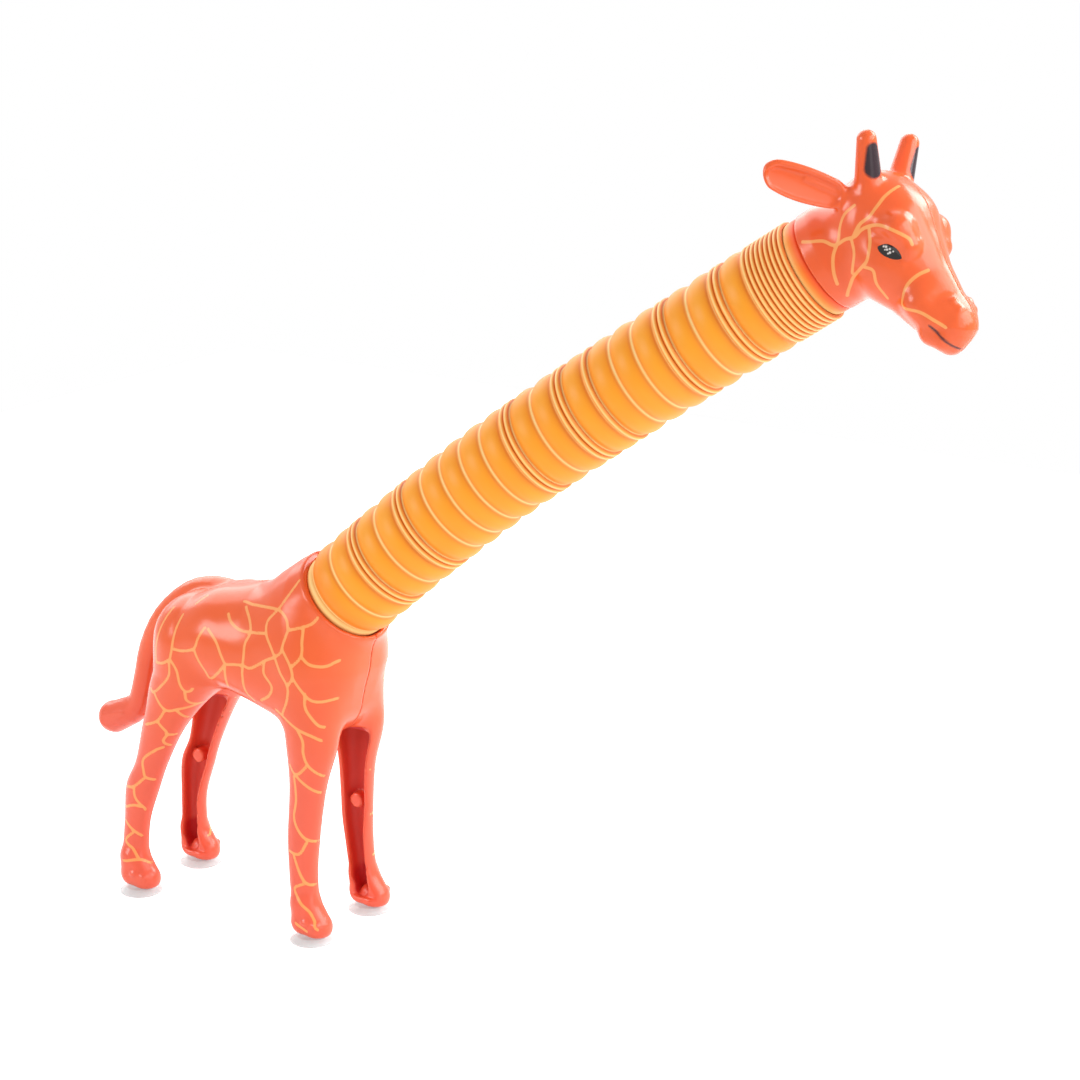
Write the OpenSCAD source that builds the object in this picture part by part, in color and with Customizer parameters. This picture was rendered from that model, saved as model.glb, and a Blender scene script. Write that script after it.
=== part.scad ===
// Giraffe pop tube toy: two hollow body shells on suction feet, a pop tube
// neck that stretches and bends, and a two-shell head that turns on it.
// Millimetres. X runs forward, Y to the toy's left, Z up; the feet stand on Z = 0.

/* [Body] */
// Wall thickness of the body shells
body_wall = 5.4; // [3.5:0.1:6]
// Forward distance of the front feet
front_x = 33; // [28:0.5:38]
// Backward distance of the rear feet
rear_x = 34.4; // [28:0.2:40]
// Half distance between right and left feet
foot_y = 14.2; // [12:0.1:17]
// Height of the soles above the table
sole_z = 1.8; // [1.4:0.1:4]
// Wall thickness of the open legs
leg_wall = 2; // [1.4:0.1:2.6]
// Height of the neck rim centre
rim_z = 104.6; // [95:0.2:115]
// Forward position of the neck rim centre
rim_x = 37.5; // [30:0.5:44]
// Outer radius of the neck rim
rim_r = 15; // [14.8:0.1:18]
// Upward angle of the neck rim axis
rim_tilt = 44; // [35:1:55]

/* [Neck tube] */
// Outer diameter over the ribs
tube_d = 29.4; // [24:0.2:34]
// Depth of the groove between two ribs
rib_depth = 1.4; // [0.5:0.1:2]
// Wall thickness of the tube
tube_wall = 0.36; // [0.3:0.02:0.6]
// Length of one rib that is popped open
open_pitch = 7.6; // [6:0.1:9]
// Length of one rib that is folded shut
shut_pitch = 1.78; // [1.4:0.02:2.4]
// Length of one folded rib that is packed tight under the head
tight_pitch = 1.5; // [1.2:0.02:1.8]
// Sideways lean of the neck to the left
neck_yaw = 12; // [-20:1:20]
// Visible length of the plain collar at the head
collar_len = 6.5; // [4:0.1:9]

/* [Head] */
// Wall thickness of the head shells
head_wall = 0.9; // [0.8:0.1:2]
// Downward angle of the snout
head_pitch = 33; // [0:1:60]
// Sideways roll of the head
head_roll = -11; // [-30:1:30]
// Turn of the snout to the left
head_yaw = -8.6; // [-30:0.2:30]

/* [Suction cups] */
// Diameter of a cup at its lip
cup_d = 13; // [10:0.5:16]
// Stem diameter of a cup
stem_d = 3.4; // [2.6:0.1:4.5]

/* [Hidden] */

coral = [0.93, 0.26, 0.2];
orange = [1.0, 0.58, 0.14];
clear = [0.88, 0.9, 0.92, 0.6];

// The frame's origin lies under the middle of the whole toy.
middle = [79.8, 19.2, 0];

// Ribs of each run of the tube, from the body up: E is open, C folded shut, T packed tight.
runs = ["E", "ECCE", "E", "CCEEE", "E", "ECCE", "E", "CCECE", "E", "ECCE", "E",
        "CCETTTTTTTTT"];
// Upward angle and sideways lean of each run.
rise = [42.6, 41.6, 41, 39.8, 38, 36.6, 36, 35.5, 35, 34.6, 34.5, 34.5];
lean = [neck_yaw - 4, neck_yaw - 1.5, neck_yaw, neck_yaw, neck_yaw, neck_yaw,
        neck_yaw, neck_yaw, neck_yaw, neck_yaw, neck_yaw, neck_yaw];
// Gap left between a run and the thin ring that ends it.
ring_gap = 0.28;
ring_half = 0.4;
root_r = tube_d / 2 - rib_depth;

function rib_len(c) = c == "E" ? open_pitch : c == "C" ? shut_pitch : tight_pitch;
function run_len(s, i = 0) = i >= len(s) ? 0 : rib_len(s[i]) + run_len(s, i + 1);
function way(e, a) = [cos(e) * cos(a), cos(e) * sin(a), sin(e)];
rim = [rim_x, 0, rim_z];
base_rise = 43.3;
base_lean = neck_yaw - 7;
start = rim + 1.6 * way(base_rise, base_lean);
function station(k) = k == 0 ? start
  : station(k - 1) + run_len(runs[k - 1]) * way(rise[k - 1], lean[k - 1]);
head_at = station(12) + (collar_len + ring_half) * way(rise[11], lean[11]);

// Body skeleton, right side: each joint is [x, y, z, radius].
haunch = [-19, -3.5, 82.8, 14.8];
loin = [-3, -3.5, 85.4, 14];
shoulder = [17.4, -4, 86, 14.7];
withers = [27.6, 0, 96.8, 16.4];
breast = [30, -4.5, 84, 14.6];
brisket = [29.4, -4.5, 74.4, 12.2];
fore = [[31, -9.5, 75, 9.9], [32.2, -11, 62, 8.6], [31.3, -12.2, 48, 6.5],
        [29.3, -13.2, 29.4, 5.1], [front_x - 2, -foot_y, 13, 4.7]];
hind = [[-18.6, -9, 78, 12.4], [-23, -11.4, 57, 6.6], [-31.3, -12.8, 38, 4.9],
        [-35.5, -13.4, 23, 4], [-2.3 - rear_x, -foot_y, 12, 4.1]];
// Legs are flattened from side to side by this factor.
flat = 0.78;
// Inner side of the open legs, its shift inwards above the knee, and height where the belly closes.
leg_face = -11;
knee_z = 35;
thigh_shift = 3;
belly_z = 62;

module at(p) translate(p - middle) children();
module along(p, e, a) at(p) rotate([0, 90 - e, a]) children();

module ball(j, cut) at([j[0], j[1], j[2]]) sphere(r = j[3] - cut);

module paw(j, cut) at([j[0], j[1], j[2]]) scale([1, flat, 1]) sphere(r = j[3] - cut);

// A leg bone; inward is how far a hollow runs on towards the other leg.
module limb(a, b, cut, inward) {
  hull() {
    for (y = [0, inward]) translate([0, y, 0]) {
      paw(a, cut);
      paw(b, cut);
    }
  }
}

// A trunk bone, drawn across to the middle plane so that the back is one smooth top.
module link(a, b, cut) {
  hull() {
    for (y = [1, 0]) {
      ball([a[0], y * a[1], a[2], a[3]], cut);
      ball([b[0], y * b[1], b[2], b[3]], cut);
    }
  }
}

module trunk(cut) {
  link(haunch, loin, cut);
  link(loin, shoulder, cut);
  link(shoulder, breast, cut);
  link(breast, brisket, cut);
  link(loin, brisket, cut);
  hull() {
    ball(withers, cut);
    along(rim, rim_tilt, 0) translate([0, 0, -3]) cylinder(r = rim_r - cut, h = 3);
  }
}

module limbs(cut, inward = 0) {
  for (i = [0 : 3]) limb(fore[i], fore[i + 1], cut, i > 1 ? inward : 0);
  for (i = [0 : 3]) limb(hind[i], hind[i + 1], cut, i > 0 ? inward : 0);
}

module feet() {
  for (x = [front_x, -rear_x]) {
    hull() {
      at([x - 1.6, -foot_y, sole_z]) cylinder(r = 5, h = 4);
      at([x + 1.6, -foot_y, sole_z]) cylinder(r = 5, h = 2.6);
      at([x - 1.9, -foot_y, sole_z + 9]) sphere(r = 4.3);
    }
  }
}

module foot_hollows() {
  for (x = [front_x, -rear_x]) {
    hull() for (y = [0, 5]) {
      at([x - 0.4, y - foot_y, sole_z + 2.6]) cylinder(r = 3.2, h = 2.4);
      at([x - 1.4, y - foot_y, sole_z + 10]) sphere(r = 2.8);
    }
    at([x, -foot_y, sole_z - 1]) cylinder(d = stem_d + 0.7, h = 8, $fn = 24);
  }
}

module posts() {
  for (p = [[29.8, 35], [30.8, 55], [-32.8, 36.6], [-21.5, 62]]) {
    at([p[0], -foot_y - 4.2, p[1]]) rotate([-90, 0, 0]) cylinder(d = 3.8, h = 5.6, $fn = 20);
  }
}

// The space between the right and left legs.
module between_legs() {
  at([-80, 0, 0]) rotate([90, 0, 90]) linear_extrude(160) polygon([
    [leg_face, sole_z + 3], [leg_face, knee_z], [leg_face + thigh_shift, belly_z],
    [50, belly_z], [50, sole_z + 3]]);
}

// Right half of the body; its legs stay open towards the other half.
module half_body() {
  intersection() {
    difference() {
      union() {
        trunk(0);
        limbs(0);
        feet();
      }
      trunk(body_wall);
      limbs(leg_wall, 7);
      foot_hollows();
      between_legs();
      along(rim, rim_tilt, 0) translate([0, 0, -9]) cylinder(r = rim_r - 1.1, h = 20, $fn = 48);
    }
    at([-80, -40, -10]) cube([160, 39.95, 160]);
  }
  intersection() {
    posts();
    union() {
      trunk(0.2);
      limbs(0.2);
    }
  }
}

// Tail: a bent stalk with a round tuft, behind the left haunch.
tail = [[-30.5, 3.6, 89, 4.6], [-38.6, 3.6, 78.5, 4.5], [-42.2, 3.6, 65.8, 3.7],
        [-46.9, 3.6, 54.6, 3.6], [-56.2, 3.6, 47.9, 5.1]];

module tail_shape() {
  for (i = [0 : 3]) link(tail[i], tail[i + 1], 0);
}

module mirrored() {
  at([0, 0, 0]) mirror([0, 1, 0]) at(2 * [middle[0], middle[1], 0]) children();
}

module body_right_shell() color(coral) half_body($fn = 22);

module body_left_shell() {
  color(coral) {
    mirrored() half_body($fn = 22);
    difference() {
      tail_shape($fn = 16);
      at([-80, -40, -10]) cube([160, 40.05, 160]);
      mirrored() trunk(body_wall, $fn = 22);
    }
  }
}

// Clear soft cup: a knob and stem that hold it in the sole, and a bell with a flat lip.
module cup(x, y) {
  color(clear) at([x, y, 0]) rotate_extrude($fn = 64) polygon([
    [0, 0.9], [0, sole_z + 5.6], [stem_d / 2 - 0.6, sole_z + 5.6],
    [stem_d / 2 + 0.5, sole_z + 4.4], [stem_d / 2 + 0.5, sole_z + 3.4],
    [stem_d / 2, sole_z + 2.8], [stem_d / 2, sole_z - 0.15], [4.8, sole_z - 0.15],
    [cup_d / 2 - 0.6, 0.8], [cup_d / 2, 0.4], [cup_d / 2, 0],
    [cup_d / 2 - 1.2, 0], [4, 0.6]]);
}

module suction_cup_front_right() cup(front_x, -foot_y);
module suction_cup_front_left() cup(front_x, foot_y);
module suction_cup_rear_right() cup(-rear_x, -foot_y);
module suction_cup_rear_left() cup(-rear_x, foot_y);

// Outer outline of one rib: an open rib is a barrel, a folded one a sharp ridge.
open_shape = [[0, 0], [0.05, 0.26], [0.13, 0.58], [0.27, 0.87], [0.5, 1], [0.73, 0.87],
              [0.87, 0.58], [0.95, 0.26], [1, 0]];
shut_shape = [[0, 0], [0.3, 0.9], [0.5, 1], [0.7, 0.9], [1, 0]];
function shape(c) = c == "E" ? open_shape : shut_shape;
function rib_line(s, i = 0, z = 0) = i >= len(s) ? []
  : concat([for (p = shape(s[i])) [root_r + rib_depth * p[1], z + rib_len(s[i]) * p[0]]],
           rib_line(s, i + 1, z + rib_len(s[i])));
function flip(v) = [for (i = [len(v) - 1 : -1 : 0]) v[i]];
function unique(v) = [for (i = [0 : len(v) - 1]) if (i == 0 || norm(v[i] - v[i - 1]) > 0.001) v[i]];
// The outline between two heights, cut across cleanly at both.
function between(v, a, b) = let (t = [for (p = v) [p[1], p[0]]])
  concat([[lookup(a, t), a]], [for (p = v) if (p[1] > a + 0.02 && p[1] < b - 0.02) p],
         [[lookup(b, t), b]]);

module fold(k) {
  s = runs[k - 1];
  n = run_len(s);
  lo = ring_half + ring_gap;
  outer = between(unique(rib_line(s)), lo, n - lo);
  inner = flip([for (p = outer) [p[0] - tube_wall, p[1]]]);
  color(orange) along(station(k - 1), rise[k - 1], lean[k - 1])
    rotate_extrude($fn = 72) polygon(concat(outer, inner));
}

module ring(k) {
  e = k < 12 ? (rise[k - 1] + rise[k]) / 2 : rise[11];
  a = k < 12 ? (lean[k - 1] + lean[k]) / 2 : lean[11];
  color(orange) along(station(k), e, a) rotate_extrude($fn = 72)
    translate([root_r - tube_wall - 0.25, -ring_half]) square([tube_wall + 0.5, 2 * ring_half]);
}

module neck_base_collar() {
  color(orange) along(rim, base_rise, base_lean) rotate_extrude($fn = 72) polygon([
    [root_r - 1.2, -6], [root_r - 0.5, -6], [root_r - 0.5, 0.5], [root_r + 0.3, 0.5],
    [root_r + 0.3, 1.3], [root_r - 1.2, 1.3]]);
}

module neck_top_collar() {
  color(orange) along(station(12), rise[11], lean[11]) rotate_extrude($fn = 72) polygon([
    [root_r - 0.6, -ring_half], [root_r, -ring_half], [root_r + 0.6, 0.4],
    [root_r + 0.6, collar_len + 0.2], [root_r - 0.4, collar_len + 0.2],
    [root_r - 0.4, collar_len + 3.4], [root_r - 1.2, collar_len + 3.4],
    [root_r - 1.2, collar_len - 1.6], [root_r - 0.6, collar_len - 2.6]]);
}

module neck_fold_1() fold(1);
module neck_ring_1() ring(1);
module neck_fold_2() fold(2);
module neck_ring_2() ring(2);
module neck_fold_3() fold(3);
module neck_ring_3() ring(3);
module neck_fold_4() fold(4);
module neck_ring_4() ring(4);
module neck_fold_5() fold(5);
module neck_ring_5() ring(5);
module neck_fold_6() fold(6);
module neck_ring_6() ring(6);
module neck_fold_7() fold(7);
module neck_ring_7() ring(7);
module neck_fold_8() fold(8);
module neck_ring_8() ring(8);
module neck_fold_9() fold(9);
module neck_ring_9() ring(9);
module neck_fold_10() fold(10);
module neck_ring_10() ring(10);
module neck_fold_11() fold(11);
module neck_ring_11() ring(11);
module neck_fold_12() fold(12);

// Head skeleton in its own frame: X along the snout, Y to its left, Z to the crown.
skull = [6, 0, 12.5, 12.3];
crown = [4.2, 0, 16.2, 12.1];
cheek = [13.5, 0, 12, 12.4];
forehead = [9.8, -3, 19.6, 8.4];
lips = [36.3, 0, 8.8, 7];
chin = [39.8, 0, 7.4, 5.2];
pout = [35.8, -2.4, 5.6, 4.5];
brow = [14, -9.2, 20, 4.5];
// How far the head's rim reaches down over the collar.
rim_drop = 1.15;
// Direction of the neck in the head's frame, as a lean forward and a tilt to its left.
function unturn_x(v, a) = [v[0], v[1] * cos(a) + v[2] * sin(a), v[2] * cos(a) - v[1] * sin(a)];
function unturn_y(v, a) = [v[0] * cos(a) - v[2] * sin(a), v[1], v[0] * sin(a) + v[2] * cos(a)];
function unturn_z(v, a) = [v[0] * cos(a) + v[1] * sin(a), v[1] * cos(a) - v[0] * sin(a), v[2]];
socket = unturn_x(unturn_y(unturn_z(way(rise[11], lean[11]), head_yaw), head_pitch), head_roll);
socket_lean = atan2(socket[0], socket[2]);
socket_tilt = asin(socket[1]);

module head_frame() at(head_at) rotate([head_roll, head_pitch, head_yaw]) children();

module knob(j, cut) translate([j[0], j[1], j[2]]) sphere(r = j[3] - cut);

module bone(a, b, cut) {
  hull() {
    knob(a, cut);
    knob(b, cut);
  }
}

module head_solid(cut, tilt) {
  bone(skull, crown, cut);
  bone(skull, cheek, cut);
  bone(crown, cheek, cut);
  bone(cheek, lips, cut);
  bone(crown, forehead, cut);
  bone(lips, chin, cut);
  bone(lips, pout, cut);
  bone(cheek, brow, cut);
  hull() {
    knob(skull, cut);
    rotate([-tilt, socket_lean, 0]) translate([0, 0, -rim_drop - (cut > 0 ? 1 : 0)])
      cylinder(r = tube_d / 2 + 0.5 - cut, h = 3.2);
  }
}

module ear() {
  hull() {
    knob([-4.5, -11, 19, 1.8], 0);
    knob([-2.5, -11.5, 14.4, 1.8], 0);
    knob([-11.6, -19.5, 17.8, 1.3], 0);
    knob([-7.6, -20.5, 11.8, 1.3], 0);
    knob([-12.8, -24.2, 11.8, 1.2], 0);
    knob([-17, -25.4, 13.8, 1.4], 0);
  }
}

module horn() {
  hull() {
    knob([-0.2, -7.2, 24, 3.6], 0);
    knob([-7, -10.7, 32.6, 3], 0);
  }
}

// Right half of the head, whose neck socket tilts to the left.
module half_head(tilt) {
  difference() {
    union() {
      head_solid(0, tilt);
      ear();
      horn();
    }
    head_solid(head_wall, tilt);
    rotate([-tilt, socket_lean, 0]) translate([0, 0, -5]) {
      cylinder(r = root_r + 0.1, h = 8.6, $fn = 64);
      cylinder(r = root_r + 0.85, h = 5.1, $fn = 64);
    }
    translate([-60, -0.05, -40]) cube([140, 60, 120]);
  }
}

module head_right_shell() color(coral) head_frame() half_head(socket_tilt, $fn = 26);
module head_left_shell() color(coral) head_frame() mirror([0, 1, 0]) half_head(-socket_tilt, $fn = 26);

body_right_shell();
body_left_shell();
suction_cup_front_right();
suction_cup_front_left();
suction_cup_rear_right();
suction_cup_rear_left();
neck_base_collar();
neck_fold_1();
neck_ring_1();
neck_fold_2();
neck_ring_2();
neck_fold_3();
neck_ring_3();
neck_fold_4();
neck_ring_4();
neck_fold_5();
neck_ring_5();
neck_fold_6();
neck_ring_6();
neck_fold_7();
neck_ring_7();
neck_fold_8();
neck_ring_8();
neck_fold_9();
neck_ring_9();
neck_fold_10();
neck_ring_10();
neck_fold_11();
neck_ring_11();
neck_fold_12();
neck_top_collar();
head_right_shell();
head_left_shell();
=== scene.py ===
"""Giraffe pop tube toy: two moulded body shells on clear suction cups, a ribbed neck tube and a head."""

import bpy
import numpy as np
from mathutils import Matrix


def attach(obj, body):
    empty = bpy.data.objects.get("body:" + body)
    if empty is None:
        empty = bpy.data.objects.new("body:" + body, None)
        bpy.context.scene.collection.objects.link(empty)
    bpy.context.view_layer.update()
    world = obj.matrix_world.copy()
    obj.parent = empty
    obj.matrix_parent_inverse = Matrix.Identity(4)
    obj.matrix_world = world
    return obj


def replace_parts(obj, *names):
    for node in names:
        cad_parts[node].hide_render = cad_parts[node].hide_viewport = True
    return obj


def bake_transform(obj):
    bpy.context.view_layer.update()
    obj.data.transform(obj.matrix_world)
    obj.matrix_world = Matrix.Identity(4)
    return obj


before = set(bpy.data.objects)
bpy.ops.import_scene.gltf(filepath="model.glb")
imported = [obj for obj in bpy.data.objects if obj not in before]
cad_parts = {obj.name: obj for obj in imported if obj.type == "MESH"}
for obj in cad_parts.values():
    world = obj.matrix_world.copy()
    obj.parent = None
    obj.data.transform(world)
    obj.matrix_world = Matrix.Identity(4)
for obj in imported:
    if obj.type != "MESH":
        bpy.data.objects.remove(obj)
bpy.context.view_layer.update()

# Studio: a white board under the toy in a white tent, a long softbox overhead, a square one on the left,
# two ahead of the snout and one beyond the brow, which draw the pale bands on the plastic. The camera
# stands to the right front.


def linear(code):
    """Linear RGBA of an sRGB hex colour: the standard curve on each channel."""
    srgb = np.array([int(code[i : i + 2], 16) / 255 for i in (1, 3, 5)])
    return (*np.where(srgb <= 0.04045, srgb / 12.92, ((srgb + 0.055) / 1.055) ** 2.4), 1.0)


def put(tree, kind, inputs=(), **settings):
    """One shader node with its settings; an input is a value or the socket that feeds it."""
    made = tree.nodes.new("ShaderNode" + kind)
    for key, value in settings.items():
        setattr(made, key, value)
    for key, value in dict(inputs).items():
        if isinstance(value, bpy.types.NodeSocket):
            tree.links.new(value, made.inputs[key])
        else:
            made.inputs[key].default_value = value
    return made


def blank(name):
    """An empty node material of that name."""
    made = bpy.data.materials.new(name)
    made.use_nodes = True
    made.node_tree.nodes.clear()
    return made, made.node_tree


def mesh_object(name, points, faces, material, smooth=True, **marks):
    """A mesh from whole arrays of points and of faces, with one value per point for each mark."""
    mesh = bpy.data.meshes.new(name)
    corners = faces.shape[1]
    mesh.vertices.add(len(points))
    mesh.vertices.foreach_set("co", np.ascontiguousarray(points, np.float32).ravel())
    mesh.loops.add(faces.size)
    mesh.loops.foreach_set("vertex_index", np.ascontiguousarray(faces, np.int32).ravel())
    mesh.polygons.add(len(faces))
    mesh.polygons.foreach_set("loop_start", np.arange(0, faces.size, corners, dtype=np.int32))
    mesh.polygons.foreach_set("use_smooth", np.broadcast_to(smooth, len(faces)).copy())
    mesh.update(calc_edges=True)
    for mark, values in marks.items():
        layer = mesh.attributes.new(mark, "FLOAT", "POINT")
        layer.data.foreach_set("value", np.ascontiguousarray(values, np.float32))
    mesh.materials.append(material)
    made = bpy.data.objects.new(name, mesh)
    bpy.context.scene.collection.objects.link(made)
    return made


def in_sight(tree):
    """Socket that is 1 on a ray from the camera or sent on by a gloss or a clear wall, and 0 on others."""
    rays = put(tree, "LightPath").outputs
    seen = put(tree, "Math", {0: rays["Is Camera Ray"], 1: rays["Is Glossy Ray"]}, operation="MAXIMUM")
    seen = put(tree, "Math", {0: seen.outputs[0], 1: rays["Is Transmission Ray"]}, operation="MAXIMUM")
    return seen.outputs[0]


# White painted board: matt, and white to the camera as the photograph's ground is.
BOARD_HALF, BOARD_DROP, BOARD_LIFT, TENT_LIGHT = 0.6, -0.0002, 0.5, 0.36
board, tree = blank("white painted board")
matt = put(tree, "BsdfDiffuse", {"Color": linear("#f2f2f2")})
lift = put(tree, "Math", {0: in_sight(tree), 1: BOARD_LIFT}, operation="MULTIPLY")
glow = put(tree, "Emission", {"Color": (1, 1, 1, 1), "Strength": lift.outputs[0]})
both = put(tree, "AddShader", {0: matt.outputs[0], 1: glow.outputs[0]})
put(tree, "OutputMaterial", {"Surface": both.outputs[0]})
reach = BOARD_HALF * np.array([[-1, -1], [1, -1], [1, 1], [-1, 1]])
corners = np.c_[reach, np.full(4, BOARD_DROP)]
floor = mesh_object("studio_floor", corners, np.array([[0, 1, 2, 3]]), board, smooth=False)

world = bpy.data.worlds.new("white tent")
world.use_nodes = True
tree = world.node_tree
tree.nodes.clear()
level = put(tree, "MapRange", {"Value": in_sight(tree), "To Min": TENT_LIGHT, "To Max": 1.0})
sky = put(tree, "Background", {"Color": (1, 1, 1, 1), "Strength": level.outputs[0]})
put(tree, "OutputWorld", {"Surface": sky.outputs[0]})
bpy.context.scene.world = world
bpy.context.scene.view_settings.view_transform = "Standard"


def aim(made, place, target):
    """Puts an object at a place and turns its -Z to a target, with +Y as far up as it can be."""
    back = np.subtract(place, target) / np.linalg.norm(np.subtract(place, target))
    side = np.cross([0, 0, 1], back)
    side /= np.linalg.norm(side)
    turn = np.eye(4)
    turn[:3, 0], turn[:3, 1], turn[:3, 2], turn[:3, 3] = side, np.cross(back, side), back, place
    made.matrix_world = Matrix(turn.tolist())
    bpy.context.scene.collection.objects.link(made)


LAMP_AIM = (0.0, 0.0, 0.1)
for name, place, size, watts in (
    ("softbox_overhead", (-0.75, 0.6, 0.8), (1.3, 1.1), 10.2),
    ("softbox_left", (-0.75, -0.95, 0.55), (0.55, 0.5), 6.6),
    ("softbox_right", (1.2, -0.5, 0.5), (0.6, 0.9), 2.8),
    ("softbox_snout", (0.66, 0.15, 0.5), (0.62, 0.44), 4.4),
    ("softbox_brow", (0.34, 0.62, 0.62), (0.4, 0.4), 4.2),
):
    lamp = bpy.data.lights.new(name, "AREA")
    lamp.shape, lamp.size, lamp.size_y, lamp.energy = "RECTANGLE", *size, watts
    aim(bpy.data.objects.new(name, lamp), place, LAMP_AIM)

CAMERA_AT, CAMERA_AIM = (0.45598, -0.65730, 0.35284), (-0.02443, 0.05503, 0.10649)
lens = bpy.data.cameras.new("camera")
lens.lens, lens.sensor_width, lens.sensor_fit = 96.6, 36.0, "HORIZONTAL"
camera = bpy.data.objects.new("camera", lens)
aim(camera, CAMERA_AT, CAMERA_AIM)
bpy.context.scene.camera = camera

# Right body shell: half of the hollow body with a fore and a hind leg, injection moulded in glossy
# coral ABS. The legs are open on their inner side, where round posts show, and pale net lines are
# printed on the outside. It is glued to the left shell along the middle.

# Sizes are in mm, forward, left and up from a point on the table under the body; MIDDLE is where the frame's
# origin lies from it. A joint is the middle and radius of a ball.
MIDDLE = np.array([79.8, 19.2, 0.0])
FOOT_Y, SOLE_Z = 14.2, 1.8
HAUNCH, LOIN = (-15.4, -3.8, 82.8, 14.4), (-3, -3.8, 85.8, 14.3)
SHOULDER, WITHERS, SADDLE = (17.4, -4, 86, 14.7), (27.6, 0, 96.8, 16.4), (10.4, 0, 92.4, 10.6)
BREAST, BRISKET = (30, -4.5, 84, 14.6), (29.4, -4.5, 74.4, 12.2)
FORE = [(30.9, -14.2, 11, 4.6), (30.0, -13.7, 21, 4.7), (29.9, -12.9, 32, 5.3), (31.0, -11.8, 48, 6.1),
        (32.2, -11.0, 62, 8.6), (31, -9.5, 75, 9.9)]
HIND = [(-36.4, -14.2, 10, 4.5), (-35.5, -13.4, 23, 4.4), (-33.0, -12.9, 34.6, 5.8), (-29.4, -12.6, 43, 5.5),
        (-25.2, -12.0, 54, 6.9), (-21.6, -10.6, 62, 9.0), (-18.4, -9.0, 68, 11.6), (-14.6, -6.6, 73, 15.0)]
LEG_FLAT, LEG_WALL, THIGH_WALL, BODY_WALL = 0.78, 1.7, 1.6, 5.0
INNER_Z, INNER_Y, FORK_Z, CHANNEL_Z, SOLE_THICK = (35, 60), (-11.0, -8.0), 62.0, 60.0, 3.2
FEET = (33.0, -34.4)
RIM, RIM_R = np.array([37.5, 0, 104.6]), 15.4
RIM_WAY = np.array([np.cos(np.radians(44)), 0, np.sin(np.radians(44))])
BORE_SHIFT, BORE_R, BORE_DEEP, MOUTH_R, MOUTH_DEEP = (0.3, 0, -0.3), 13.2, 9.0, 13.8, 1.6
POSTS, POST_R, POST_Y, POST_HALF = [(29.8, 35), (-32.8, 36.6)], 2.3, -16.0, 3.6
BOSS_R, BOSS_TOP = 2.7, 5.4
SEAM_X, SEAM_Y, SEAM_MIDDLE = (38, 44), (-0.005, -0.15), -0.09


def curve(points, gap):
    """Points every gap mm along a smooth line through the given ones: a cubic in each step, ends drawn on."""
    k = np.asarray(points, float)
    k = np.concatenate([[2 * k[0] - k[1]], k, [2 * k[-1] - k[-2]]])
    a, b, c, d = k[:-3], k[1:-2], k[2:-1], k[3:]
    count = max(2, int(np.ceil(np.linalg.norm(c - b, axis=1).max() / gap)))
    t = (np.arange(count) / count)[None, :, None]
    a, b, c, d = (x[:, None] for x in (a, b, c, d))
    square, cube = 2 * a - 5 * b + 4 * c - d, 3 * b - a - 3 * c + d
    line = 0.5 * (2 * b + (c - a) * t + square * t**2 + cube * t**3)
    return np.concatenate([line.reshape(-1, k.shape[1]), k[-2:-1]])


def bone(p, a, b):
    """Depth in a ball that slides from joint a to joint b while its radius changes evenly."""
    a, b = np.asarray(a, float), np.asarray(b, float)
    axis = b[:3] - a[:3]
    along = np.clip((p - a[:3]) @ axis / (axis @ axis), 0, 1)
    off = p - a[:3] - along[:, None] * axis
    return np.sqrt((off * off).sum(1)) - (a[3] + along * (b[3] - a[3]))


def stalk(p, joints, axis, cut, flat=1.0, inward=False):
    """Depth in a round stalk, thinner by cut, whose middle and radius follow a smooth line through the joints,
    read at each point's own place on one axis; it is squeezed sideways by flat, and inward draws it out to
    the left without end."""
    line = curve(joints, 0.5)
    spot = p[:, axis]
    middle = np.stack([np.interp(spot, line[:, axis], line[:, k]) for k in range(4)], 1)
    slope = np.gradient(line[:, :3], line[:, axis], axis=0)
    lean = np.interp(spot, line[:, axis], 1 / np.linalg.norm(slope, axis=1))
    off = p - middle[:, :3]
    side = np.minimum(off[:, 1], 0) if inward else off[:, 1]
    off[:, 1] = side / flat
    return (np.sqrt((off * off).sum(1)) - middle[:, 3] + cut) * lean


def melt(a, b, fillet):
    """Two forms joined, with a fillet about that wide where their depths are alike."""
    near = np.maximum(fillet - np.abs(a - b), 0)
    return np.minimum(a, b) - near * near / (4 * fillet)


def carve(a, b, edge):
    """Form a with form b taken out, the edge rounded by about that much."""
    return -melt(-a, b, edge)


def widened(p, half):
    """Points that lie within half of the middle moved out to it, so that a form keeps one section across it."""
    return np.stack([p[:, 0], np.minimum(p[:, 1], -half), p[:, 2]], 1)


def trunk(p, cut):
    """Barrel, breast and neck stub, thinner by cut; the barrel keeps one section across the middle."""
    thin = lambda j: (*j[:3], j[3] - cut)
    q = widened(p, 4.0)
    barrel = stalk(q, [HAUNCH, LOIN, SHOULDER, BREAST], 0, cut)
    barrel = melt(barrel, bone(q, thin(BREAST), thin(BRISKET)), 2.0)
    barrel = melt(barrel, bone(q, thin(LOIN), thin(BRISKET)), 4.0)
    stub = bone(p, thin(WITHERS), (*(RIM + 4 * RIM_WAY), RIM_R - cut))
    stub = melt(stub, bone(p, thin(WITHERS), thin(SADDLE)), 3.0)
    stub = -melt(-stub, -((p - RIM) @ RIM_WAY), 0.7)
    return melt(barrel, stub, 8.0)


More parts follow.
